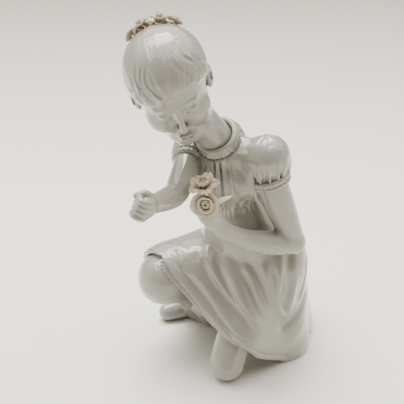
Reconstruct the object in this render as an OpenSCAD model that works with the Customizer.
// Porcelain figurine: a kneeling figure in a long dress, holding two modelled flowers.
// Slip-cast pieces luted together, with hand-made flowers pressed on.
// Millimetres, +Z up. The figure rests on z = 0 and its outline is centred on the origin.

/* [Head] */
// Half width of the hair dome
head_r = 19; // [18:0.5:20.5]
// Forward bow of the head in degrees
head_bow = 24; // [20:1:28]
// Sideways lean of the head in degrees
head_lean = 17; // [12:1:20]
// Turn of the head in degrees
head_turn = 5; // [0:1:10]

/* [Dress] */
// Wall of the hollow castings
wall = 3; // [2.5:0.5:4]
// Width of the rolled band along the hem
hem_w = 3.5; // [3:0.5:5]
// How far the hem band stands proud of the skirt
hem_proud = 0.8; // [0.5:0.1:1.2]
// Width of the lace strip that shows below the hem
lace_w = 2.8; // [2.4:0.2:4]
// Radius of the left puff sleeve
puff_r = 10.5; // [9.5:0.5:11]
// Thickness of the base plate that closes the skirt
base_t = 3; // [2.5:0.5:4]
// Diameter of the firing vent in the base plate
vent_d = 8; // [5:1:12]

/* [Flowers] */
// Radius of one garland flower
crown_flower_r = 3.4; // [3:0.2:3.8]
// Thickness of a garland flower
flower_t = 1.6; // [1.2:0.1:2]
// Radius of the rose in the left hand
rose_r = 5.2; // [4.5:0.1:5.5]
// Petals on each open flower
petal_count = 5; // [5:1:6]

/* [Hidden] */
facets = 20;
crown_count = 6;
big = 300;

// Moves the outline's centre to the origin.
centring = [-13, 3.3, 0];

// Joints of the figure, chosen by hand from its pose.
waist = [18, 5, 84];
chest = [12.5, -1.5, 113];
neck_base = [8, -6, 132];
neck_top = [0, -13.5, 144];
head_centre = [-15.2, -21.5, 169.2];
left_shoulder = [30.5, -12, 125];
left_elbow = [46.5, -10, 77.5];
left_wrist = [5.5, -32, 102];
left_palm = [2, -35, 110];
right_shoulder = [-6, -2, 125];
right_elbow = [-12, -32, 117];
right_wrist = [-21, -54, 123];
right_fist = [-25, -61, 125];
left_knee = [13.2, -22, 9.3];
right_knee = [-20, 1, 49];
right_ankle = [-5, 30, 13];

// Seams between castings: a point on each and the direction it faces.
left_elbow_seam = [left_elbow, [-0.55, -0.35, -0.65]];
neck_seam = [neck_base, [-0.3, -0.52, 0.8]];
collar_rise = 2.6;
waist_seam = [[18, 5, 86], [0, 0, 1]];
left_cuff_seam = [[33, -12, 115], [0.32, 0.04, -0.95]];
right_cuff_seam = [[-6.7, -6.2, 123.3], [-2, -12, -5]];
left_wrist_seam = [left_wrist, left_palm - left_wrist];
right_wrist_seam = [right_wrist, right_fist - right_wrist];

// The skirt opens at the front between two planes: the hem above and the petticoat behind.
hem_normal = [0.65, -0.33, 0.685];
hem_level = 35;
lining_normal = [-0.51, -0.71, -0.485];
lining_level = -18.5;

// Balls that the cloth is stretched over: centre and radius.
skirt_waist = [[18, 5, 82], 15.5];
skirt_left_hip = [[35, 6, 56], 19];
skirt_right_hip = [[18, 20, 55], 18];
skirt_seat = [[34, 28, 48], 20];
skirt_right_knee = [[-17.5, 3, 50.5], 16.2];
skirt_left_thigh = [[21, -12.5, 27], 14];
skirt_left_knee = [[19, -17.5, 17], 12.5];
skirt_foot = [[42.5, 7, 5], [47, 23.5, 5], [40, 42.5, 5], [18, 44, 5], [2, 36, 5]];
skirt_foot_r = 16;

// The base plate sits in a rebate half way through the wall of the skirt's foot.
base_rim = 13.5;
vent_place = [30, 28];

// Hair and garland, in the head's own frame: face towards -y, crown towards +z.
skull = [0, 2, 3];
skull_size = [head_r, 21.5, head_r];
crown_tilt = 21;
bun_back = 19.3;
bun_r = 7.2;
garland_r = 8.8;
garland_back = 18.3;
garland_t = 1.5;
garland_span = 250;

// Bouquet in the left hand.
rose_place = [1.5, -40, 115.5];
rose_aim = [0, -0.9, 0.3];
blossom_place = [1, -35.5, 121.5];
blossom_aim = [-0.2, -0.3, 1];

porcelain = [0.9, 0.89, 0.86];
bisque = [0.91, 0.86, 0.74];

// Rotation that turns +Z towards a direction.
function aim(d) = [0, acos(d.z / norm(d)), atan2(d.y, d.x)];
function mid(a, b, t) = a + (b - a) * t;

module place(finish) color(finish) translate(centring) children();
module ball(centre, r) translate(centre) sphere(r, $fn = facets);
module cover(b, inset) ball(b[0], b[1] - inset);
module blob(centre, size) translate(centre) hull() scale(size) sphere(1, $fn = facets);

// Half space on the side that the direction points to.
module beyond(seam)
    translate(seam[0]) rotate(aim(seam[1])) translate([-big / 2, -big / 2, 0]) cube(big);

module below_level(normal, level)
    rotate(aim(normal)) translate([-big / 2, -big / 2, level - big]) cube(big);

module above_level(normal, level)
    rotate(aim(normal)) translate([-big / 2, -big / 2, level]) cube(big);

// Chain of balls joined by tapered skins.
module limb(joints, radii)
    for (i = [0 : len(joints) - 2])
        hull() {
            ball(joints[i], radii[i]);
            ball(joints[i + 1], radii[i + 1]);
        }

// Round band about a limb: a short rounded ring.
module band(seam, r, w, thick)
    translate(seam[0]) rotate(aim(seam[1])) rotate_extrude($fn = 40)
        translate([r, 0]) scale([thick / w, 1]) circle(w / 2, $fn = 16);

module in_head() translate(head_centre) rotate([head_bow, -head_lean, head_turn]) children();

// The skull's centre, with +y towards the bun.
module at_crown() in_head() translate(skull) rotate([crown_tilt, 0, 0]) children();

// ---- plain forms, before they are cut to meet each other ----

module neck_form() limb([neck_base, neck_top, mid(neck_top, head_centre, 0.5)], [8, 8.5, 10]);

module skull_form() in_head() {
    blob(skull, skull_size);
    hull() {
        blob([0, -6, -5.5], [15.8, 14.2, 15.5]);
        ball([0, -11.5, -23.3], 7.5);
        for (side = [-1, 1]) ball([side * 6, -6, -17], 7);
    }
    // Nose.
    hull() {
        ball([0, -18, -4], 1.3);
        ball([0, -19.8, -13], 2.2);
    }
    for (side = [-1, 1]) blob([side * (head_r - 2), 1, -7.5], [2.5, 4, 6.5]);
}

module bodice_form() {
    hull() {
        blob(waist, [15.5, 13.5, 6]);
        blob(chest, [15.5, 13, 9]);
    }
    hull() {
        blob(chest, [15.5, 13, 9]);
        ball(mid(left_shoulder, neck_base, 0.35), 8);
        ball(mid(right_shoulder, neck_base, 0.3), 8);
        ball(neck_base - [0, 0, 3], 8.5);
        ball([12, 3, 131], 8.5);
    }
}

module skirt_form(inset) {
    hull() {
        cover(skirt_waist, inset);
        cover(skirt_left_hip, inset);
        cover(skirt_right_hip, inset);
        cover(skirt_seat, inset);
    }
    hull() {
        cover(skirt_left_hip, inset);
        cover(skirt_right_hip, inset);
        cover(skirt_right_knee, inset);
        cover(skirt_left_thigh, inset);
    }
    hull() {
        cover(skirt_left_hip, inset);
        cover(skirt_seat, inset);
        cover(skirt_left_thigh, inset);
        cover(skirt_left_knee, inset);
        for (f = skirt_foot) ball(f, skirt_foot_r - inset);
    }
}

// The space in front of the petticoat and under the skirt's edge.
module front_opening() intersection() {
    below_level(hem_normal, hem_level + hem_w);
    above_level(lining_normal, lining_level);
}

module right_leg_form()
    limb([[-4, 12, 52], right_knee, [-14, 11, 39], [-9, 21, 27], right_ankle],
         [12, 14.3, 11.5, 8.5, 6.3]);

module left_leg_form() limb([[25, -6, 38], [19, -13.5, 26], left_knee], [11, 9.8, 9.3]);

module shoe_form() {
    limb([[-4, 37, 6.5], [-11, 34.5, 6], [-20, 30.5, 5.2]], [7, 6.2, 5.2]);
}

module left_upper_arm_form()
    limb([left_shoulder, [33, -12, 114], [38, -11, 99], left_elbow], [8.5, 8.2, 7.2, 6]);

module left_forearm_form()
    limb([left_elbow, [33, -16, 82], [20, -23, 88], [11, -29, 95], left_wrist], [6, 6, 5.2, 4.6, 4.4]);

module right_arm_form()
    limb([right_shoulder, [-8, -14, 120], right_elbow, right_wrist, right_fist],
         [6.5, 6, 5.8, 4.2, 4.5]);

module left_sleeve_form() hull() {
    ball(left_shoulder + [1, 0, 0], puff_r);
    ball(mid(left_shoulder, neck_base, 0.35), 7.5);
}

module right_sleeve_form() hull() {
    ball(right_shoulder, 8);
    ball(mid(right_shoulder, neck_base, 0.2), 7);
}

module floor_cut() translate([-big / 2, -big / 2, -big]) cube(big);

// Flat flower with round lobes.
module petals(count, r, t) linear_extrude(t)
    polygon([for (a = [0 : 6 : 354]) r * (0.72 + 0.28 * abs(cos(a * count / 2))) * [cos(a), sin(a)]]);

module at(centre, direction) translate(centre) rotate(aim(direction)) children();

// Garland ring round the bun, and the place and outward direction of flower i on it.
function garland_angle(i) = garland_span * (i / (crown_count - 1) - 0.5);
function garland_spot(a) = [garland_r * sin(a), garland_back, garland_r * cos(a)];
function garland_out(a) = garland_spot(a) - [0, garland_back / 2, 0];

module garland_form() translate([0, garland_back, 0]) rotate([90, 0, 0])
    rotate([0, 0, 90 - garland_span / 2 - 5]) rotate_extrude(angle = garland_span + 10, $fn = 60)
        translate([garland_r, 0]) circle(garland_t, $fn = 16);

module on_garland(i) at_crown() {
    a = garland_angle(i);
    out = garland_out(a) / norm(garland_out(a));
    at(garland_spot(a) + out * garland_t, out) children();
}

// ---- one module per piece ----

module head() place(porcelain) difference() {
    union() {
        skull_form();
        neck_form();
    }
    beyond([neck_base, -neck_seam[1]]);
}

module hair_bun() place(porcelain) difference() {
    at_crown() blob([0, bun_back, 0], [bun_r, bun_r, bun_r]);
    skull_form();
}

module collar_band() place(porcelain) difference() {
    band([neck_base + neck_seam[1] * collar_rise, neck_seam[1]], 9.2, 5, 3);
    neck_form();
    bodice_form();
}

module bodice() place(porcelain) difference() {
    bodice_form();
    beyond(neck_seam);
    beyond([waist_seam[0], -waist_seam[1]]);
    left_sleeve_form();
    right_sleeve_form();
    right_cuff_form();
    right_arm_form();
}

module left_sleeve() place(porcelain) difference() {
    left_sleeve_form();
    beyond(left_cuff_seam);
}

module right_sleeve() place(porcelain) difference() {
    right_sleeve_form();
    right_cuff_form();
    beyond(right_cuff_seam);
}

module left_cuff_band() place(porcelain) difference() {
    band(left_cuff_seam, 8.6, 4, 3.2);
    left_upper_arm_form();
    left_sleeve_form();
}

module right_cuff_form() band(right_cuff_seam, 7.4, 3.4, 3.2);

module right_cuff_band() place(porcelain) right_cuff_form();

module left_upper_arm() place(porcelain) difference() {
    left_upper_arm_form();
    left_sleeve_form();
    beyond(left_elbow_seam);
}

module left_forearm() place(porcelain) difference() {
    left_forearm_form();
    beyond([left_elbow, -left_elbow_seam[1]]);
    beyond(left_wrist_seam);
}

module hand_form() {
    limb([left_wrist, left_palm, [0, -37, 114]], [4.4, 5, 4.2]);
    limb([left_palm + [-3, -1, 1], [-4, -39, 116]], [2.2, 1.6]);
}

module left_hand() place(porcelain) difference() {
    hand_form();
    beyond([left_wrist, left_wrist - left_palm]);
    at(rose_place, rose_aim) rose_form();
}

module right_arm() place(porcelain) difference() {
    right_arm_form();
    right_sleeve_form();
    beyond(right_wrist_seam);
}

module right_hand() place(porcelain) difference() {
    union() {
        limb([right_wrist, right_fist], [4.2, 5.5]);
        for (i = [0 : 3]) ball(right_fist + [-3 + i * 1.6, -2.5, 2 - i * 2.4], 2.6);
    }
    beyond([right_wrist, right_wrist - right_fist]);
}

module skirt() place(porcelain) difference() {
    skirt_form(0);
    skirt_form(wall);
    floor_cut();
    beyond(waist_seam);
    front_opening();
    base_form();
    right_leg_form();
    left_leg_form();
}

module hem_band() place(porcelain) difference() {
    skirt_form(-hem_proud);
    skirt_form(wall);
    floor_cut();
    below_level(hem_normal, hem_level);
    above_level(hem_normal, hem_level + hem_w);
    below_level(lining_normal, lining_level);
    right_leg_form();
    left_leg_form();
}

module petticoat() place(porcelain) difference() {
    intersection() {
        skirt_form(wall);
        below_level(lining_normal, lining_level);
        above_level(lining_normal, lining_level - wall);
        below_level(hem_normal, hem_level);
    }
    floor_cut();
    base_form();
    right_leg_form();
    left_leg_form();
    shoe_form();
}

module petticoat_lace() place(porcelain) difference() {
    intersection() {
        skirt_form(1.8);
        below_level(hem_normal, hem_level);
    }
    skirt_form(wall + 0.6);
    floor_cut();
    below_level(hem_normal, hem_level - lace_w);
    below_level(lining_normal, lining_level);
    right_leg_form();
    left_leg_form();
}

module right_leg() place(porcelain) difference() {
    right_leg_form();
    shoe_form();
    floor_cut();
}

module right_shoe() place(porcelain) difference() {
    shoe_form();
    floor_cut();
    skirt_form(0);
}

module left_leg() place(porcelain) difference() {
    left_leg_form();
    floor_cut();
}

// Direction that the outside of foot edge i faces.
function foot_step(i) =
    let (n = len(skirt_foot)) skirt_foot[(i + 1 + n) % n] - skirt_foot[(i + n) % n];
function foot_facing(i) = atan2(foot_step(i).y, foot_step(i).x) - 90;
function foot_turn(i) = (foot_facing(i) - foot_facing(i - 1) + 720) % 360;

// Round-cornered outline through the skirt's foot, cut off straight at the petticoat.
module base_outline() difference() {
    polygon([
        for (i = [0 : len(skirt_foot) - 1], t = [0 : 0.2 : 1])
            let (a = foot_facing(i - 1) + foot_turn(i) * t)
            [skirt_foot[i].x + base_rim * cos(a), skirt_foot[i].y + base_rim * sin(a)]
    ]);
    rotate(atan2(lining_normal.y, lining_normal.x))
        translate([lining_level / norm([lining_normal.x, lining_normal.y]), -big / 2]) square(big);
}

module base_form() linear_extrude(base_t) base_outline();

module base_plate() place(porcelain) difference() {
    base_form();
    translate([vent_place.x, vent_place.y, -1]) cylinder(d = vent_d, h = base_t + 2, $fn = 48);
}

module garland_band() place(bisque) difference() {
    at_crown() garland_form();
    skull_form();
}

module crown_flower(i) place(bisque) on_garland(i) petals(petal_count, crown_flower_r, flower_t);

module crown_centre(i) place(bisque) on_garland(i) translate([0, 0, flower_t])
    cylinder(r1 = 1.4, r2 = 0.8, h = 1.2, $fn = 24);

module stem_form() limb([[1.5, -36, 113.5], [1, -35.8, 118], blossom_place], [2.4, 2, 1.6]);

module bouquet_stem() place(bisque) difference() {
    stem_form();
    hand_form();
    at(rose_place, rose_aim) rose_form();
    at(blossom_place, blossom_aim) translate([-5, -5, 0]) cube(10);
}

module rose_form() translate([0, 0, -1]) cylinder(r1 = 2.5, r2 = rose_r, h = 5, $fn = 40);

module rose_heart_form() translate([0, 0, 0.5]) cylinder(r = 1.6, h = 4.2, $fn = 30);

module rose_inner_form() translate([0, 0, 0.5]) cylinder(r1 = 2, r2 = rose_r * 0.62, h = 4, $fn = 30);

module rose_heart() place(bisque) at(rose_place, rose_aim) rose_heart_form();

module rose_inner_petals() place(bisque) at(rose_place, rose_aim) difference() {
    rose_inner_form();
    rose_heart_form();
}

module rose_outer_petals() place(bisque) at(rose_place, rose_aim) difference() {
    rose_form();
    rose_inner_form();
    rose_heart_form();
}

module blossom_petals() place(bisque) difference() {
    at(blossom_place, blossom_aim) petals(petal_count, 7.5, 1.6);
    at(rose_place, rose_aim) rose_form();
}

module blossom_centre() place(bisque) at(blossom_place, blossom_aim) translate([0, 0, 1.6])
    cylinder(r1 = 1.8, r2 = 1, h = 1.6, $fn = 24);

module bouquet_leaf() place(bisque) difference() {
    hull() {
        ball([4, -38, 116], 1.2);
        translate([8, -39, 118]) scale([1.4, 0.6, 1]) ball([0, 0, 0], 2.2);
        ball([13, -40, 119], 0.6);
    }
    at(rose_place, rose_aim) rose_form();
    hand_form();
    at(blossom_place, blossom_aim) petals(petal_count, 7.5, 1.6);
    stem_form();
}

head();
hair_bun();
collar_band();
bodice();
left_sleeve();
right_sleeve();
left_cuff_band();
right_cuff_band();
left_upper_arm();
left_forearm();
left_hand();
right_arm();
right_hand();
skirt();
hem_band();
petticoat();
petticoat_lace();
right_leg();
right_shoe();
left_leg();
base_plate();
garland_band();
crown_flower(0);  // crown_flower_1
crown_flower(1);  // crown_flower_2
crown_flower(2);  // crown_flower_3
crown_flower(3);  // crown_flower_4
crown_flower(4);  // crown_flower_5
crown_flower(5);  // crown_flower_6
crown_centre(0);  // crown_centre_1
crown_centre(1);  // crown_centre_2
crown_centre(2);  // crown_centre_3
crown_centre(3);  // crown_centre_4
crown_centre(4);  // crown_centre_5
crown_centre(5);  // crown_centre_6
bouquet_stem();
rose_heart();
rose_inner_petals();
rose_outer_petals();
blossom_petals();
blossom_centre();
bouquet_leaf();
